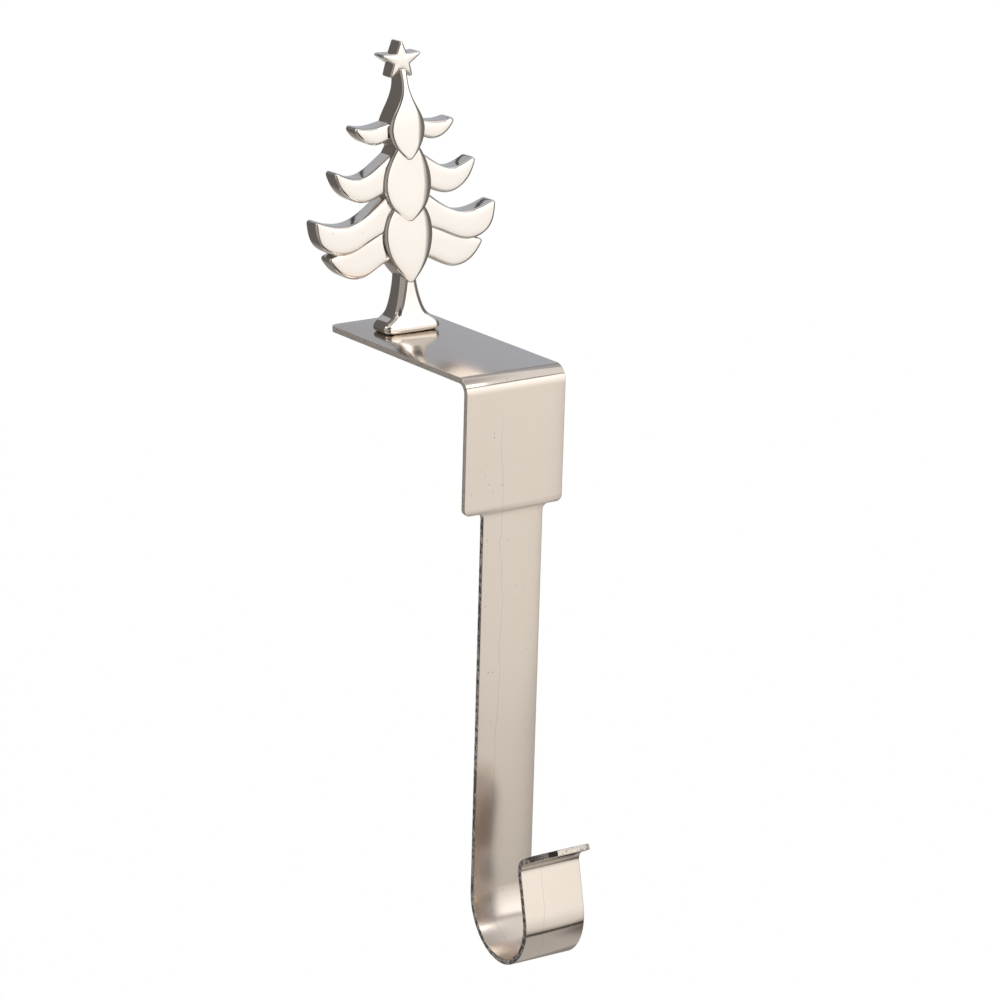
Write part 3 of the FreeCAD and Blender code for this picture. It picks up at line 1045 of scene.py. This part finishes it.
# %% Set the camera
CAMERA_MM = (-433.93, -730.26, 213.33)
CAMERA_RIGHT = Vector((0.85966, -0.51068, -0.0136))
CAMERA_DOWN = Vector((-0.15116, -0.22884, -0.96166))
CAMERA_AHEAD = Vector((0.48799, 0.82876, -0.27392))
SENSOR_MM = 36.0
FOCAL_PIXELS = 3901.3
PHOTO_PIXELS = 1001
SIGHT_METRES = 20

camera_data = bpy.data.cameras.new("camera")
camera_data.sensor_width = SENSOR_MM
camera_data.lens = SENSOR_MM * FOCAL_PIXELS / PHOTO_PIXELS
camera_data.clip_end = SIGHT_METRES
camera = link("camera", camera_data)
turn = Matrix((CAMERA_RIGHT, -CAMERA_DOWN, -CAMERA_AHEAD)).transposed().to_4x4()
camera.matrix_world = Matrix.Translation(place(*CAMERA_MM)) @ turn
bpy.context.scene.camera = camera
print("lens", round(camera_data.lens, 1), "camera at", [round(v, 3) for v in camera.location])

# %% [markdown]
# ## Studio
# Polished metal shows nothing of its own, only the room. So the room is built from
# large cards, as in a product studio: a warm bright one in front, grey ones behind and
# above, darker ones at both sides and below, and narrow dark strips that draw the thin
# lines along bends and rounded edges. The camera doesn't see the cards, only the metal
# does. Each card fades out towards its border, or the leaves would show its hard edge.
# Directions are in degrees around the object, and distances here are in metres.

# %% A glow with a soft border
def soft_border_group():
    """A mask that falls from one to nothing at the border of a card of size one."""
    group, given, out = new_group("soft_border", {"Softness": 0.2}, ["Mask", "Upward"])
    axes = split_axes(group, given.outputs["Vector"])
    fades = []
    for axis in (0, 1):
        fade = group.nodes.new("ShaderNodeMapRange")
        fade.interpolation_type = "SMOOTHSTEP"
        from_edge = math_node(group, "SUBTRACT", 0.5, math_node(group, "ABSOLUTE", axes[axis]))
        group.links.new(from_edge, fade.inputs["Value"])
        group.links.new(given.outputs["Softness"], fade.inputs["From Max"])
        fades.append(fade.outputs["Result"])
    group.links.new(math_node(group, "MULTIPLY", *fades), out.inputs["Mask"])
    group.links.new(math_node(group, "ADD", axes[1], 0.5), out.inputs["Upward"])
    return group


SOFT_BORDER = soft_border_group()


def mix_shaders(tree, factor, first, second, end):
    """Shows the second shader as far as the factor says, and else the first."""
    node = tree.nodes.new("ShaderNodeMixShader")
    for socket, source in zip(node.inputs, (factor, first.outputs[0], second.outputs[0])):
        tree.links.new(source, socket)
    tree.links.new(node.outputs[0], tree.nodes[end].inputs["Surface"])


def card_glow(name, low, high, softness):
    glow = bpy.data.materials.new(name)
    glow.use_nodes = True
    tree = glow.node_tree
    tree.nodes.remove(tree.nodes["Principled BSDF"])
    where = tree.nodes.new("ShaderNodeTexCoord").outputs["Object"]
    border_mask = use_group(tree, SOFT_BORDER, where, Softness=softness)
    light = tree.nodes.new("ShaderNodeEmission")
    tree.links.new(mix_colours(tree, border_mask["Upward"], low, high), light.inputs["Color"])
    clear = tree.nodes.new("ShaderNodeBsdfTransparent")
    mix_shaders(tree, border_mask["Mask"], clear, light, "Material Output")
    return glow


# %% A card that faces the object
OBJECT = Vector((0, 0, -0.03))
CARD_DISTANCE = 1.7


def toward(azimuth, elevation, distance):
    """A place around the object: azimuth 0 is in front, 90 to the right."""
    turn, lift = math.radians(azimuth), math.radians(elevation)
    ahead = Vector((math.sin(turn) * math.cos(lift), -math.cos(turn) * math.cos(lift), math.sin(lift)))
    return OBJECT + ahead * distance


def aimed(spot, axis):
    """The placement of something at a spot whose axis points at the object."""
    turn = (OBJECT - spot).to_track_quat(axis, "Y")
    return Matrix.Translation(spot) @ turn.to_matrix().to_4x4()


def square(name, half, height):
    """A level square of half this width, at a height."""
    mesh = bpy.data.meshes.new(name)
    corners = [(-half, -half, height), (half, -half, height), (half, half, height), (-half, half, height)]
    mesh.from_pydata(corners, [], [(0, 1, 2, 3)])
    return link(name, mesh)


def card(name, azimuth, elevation, spread, low, high=None, softness=0.2, distance=CARD_DISTANCE):
    """A card of a spread in degrees, with its colour at the lower and upper border."""
    piece = square(name, 0.5, 0)
    width, height = [2 * distance * math.tan(math.radians(angle / 2)) for angle in spread]
    stand = aimed(toward(azimuth, elevation, distance), "Z")
    piece.matrix_world = stand @ Matrix.Diagonal((width, height, 1, 1))
    piece.data.materials.append(card_glow(name, low, high or low, softness))
    piece.visible_camera = False
    piece.visible_diffuse = False
    piece.visible_transmission = False
    piece.visible_shadow = False
    print(name, round(width, 2), "by", round(height, 2), "m")


# %% Set the cards around the object
card("front_card", 26, -3, (98, 66), (0.79, 0.77, 0.733), (1.9, 1.9, 1.9), softness=0.1)
card("right_card", 86, -6, (84, 76), (0.20, 0.19, 0.18), softness=0.25, distance=1.5)
card("back_right_card", 143, 26, (92, 68), (0.46, 0.50, 0.575), (0.50, 0.51, 0.54), softness=0.1)
card("back_left_card", -151, 0, (62, 124), (0.150, 0.141, 0.133), softness=0.08)
card("low_right_card", 78, -34, (62, 50), (0.17, 0.16, 0.15), softness=0.3, distance=1.4)
card("low_back_card", 150, -40, (70, 38), (0.30, 0.275, 0.25), distance=1.3)
card("low_left_card", -92, -48, (74, 50), (0.22, 0.21, 0.20))
card("left_card", -78, 0, (94, 80), (0.42, 0.40, 0.38), softness=0.12, distance=1.5)
card("ceiling_card", 0, 88, (66, 66), (0.50, 0.50, 0.51), softness=0.35)
card("left_strip", -39, -4, (26, 70), (0.20, 0.19, 0.18), distance=1.35)
card("front_strip", -21, -16, (15, 80), (0.045, 0.042, 0.04), softness=0.15, distance=1.3)
card("upper_left_card", -50, 38, (56, 34), (0.10, 0.095, 0.09), softness=0.25, distance=1.35)
card("low_front_card", -11, -45, (36, 34), (0.03, 0.028, 0.026), softness=0.15, distance=1.25)
card("upper_strip", 16, 34, (92, 7), (0.14, 0.133, 0.125), softness=0.3, distance=1.3)
card("back_strip", 146, 31, (70, 5), (0.06, 0.06, 0.06), softness=0.25, distance=1.3)
card("lower_strip", 18, -41, (100, 5.5), (0.03, 0.02, 0.012), softness=0.1, distance=1.2)

# %% Soft lamps for the brightest lines
LAMP_DISTANCE = 1.6


def softbox(name, azimuth, elevation, size, power):
    lamp_data = bpy.data.lights.new(name, "AREA")
    lamp_data.shape = "RECTANGLE"
    lamp_data.size, lamp_data.size_y = size
    lamp_data.energy = power
    lamp = link(name, lamp_data)
    lamp.matrix_world = aimed(toward(azimuth, elevation, LAMP_DISTANCE), "-Z")
    print(name, power, "W")


softbox("softbox_top", 5, 46, (0.9, 0.5), 3.2)
softbox("softbox_left", -112, 46, (0.35, 0.35), 0.8)

# %% [markdown]
# ## Floor and backdrop
# The backdrop is pure white and so is the floor far below, with only a trace of the
# object's shadow. Both give the metal its white and its pale underside.

# %% Make the floor
FLOOR_HALF = 6
FLOOR_HEIGHT = -1.7
FLOOR_WHITE = (0.72, 0.705, 0.685)
FLOOR_GLOW = 1.06
FLOOR_LIFT = 0.88


def pale_floor():
    """Matt white; the camera sees it lifted to a clean white, with a trace of shadow."""
    paint = bpy.data.materials.new("pale_floor")
    paint.use_nodes = True
    tree = paint.node_tree
    shader = tree.nodes["Principled BSDF"]
    shader.inputs["Base Color"].default_value = (*FLOOR_WHITE, 1)
    shader.inputs["Roughness"].default_value = 0.9
    lift = tree.nodes.new("ShaderNodeEmission")
    lift.inputs["Strength"].default_value = FLOOR_GLOW
    seen = tree.nodes.new("ShaderNodeLightPath").outputs["Is Camera Ray"]
    mix_shaders(tree, math_node(tree, "MULTIPLY", seen, FLOOR_LIFT), shader, lift, "Material Output")
    return paint


floor = square("floor", FLOOR_HALF, FLOOR_HEIGHT)
floor.data.materials.append(pale_floor())
print("floor", FLOOR_HEIGHT, "m below")


# %% Make the backdrop
def white_world():
    """White for what the camera, metal and glass see, a plain grey level for the rest."""
    world = bpy.data.worlds.new("studio")
    bpy.context.scene.world = world
    world.use_nodes = True
    tree = world.node_tree
    ambient = tree.nodes["Background"]
    ambient.inputs["Color"].default_value = (0.75, 0.75, 0.75, 1)
    seen = tree.nodes.new("ShaderNodeBackground")
    seen.inputs["Color"].default_value = (1, 1, 1, 1)
    path = tree.nodes.new("ShaderNodeLightPath")
    rays = math_node(tree, "MAXIMUM", path.outputs["Is Camera Ray"], path.outputs["Is Glossy Ray"])
    rays = math_node(tree, "MAXIMUM", rays, path.outputs["Is Transmission Ray"])
    mix_shaders(tree, rays, ambient, seen, "World Output")


white_world()
bpy.context.scene.view_settings.view_transform = "Standard"
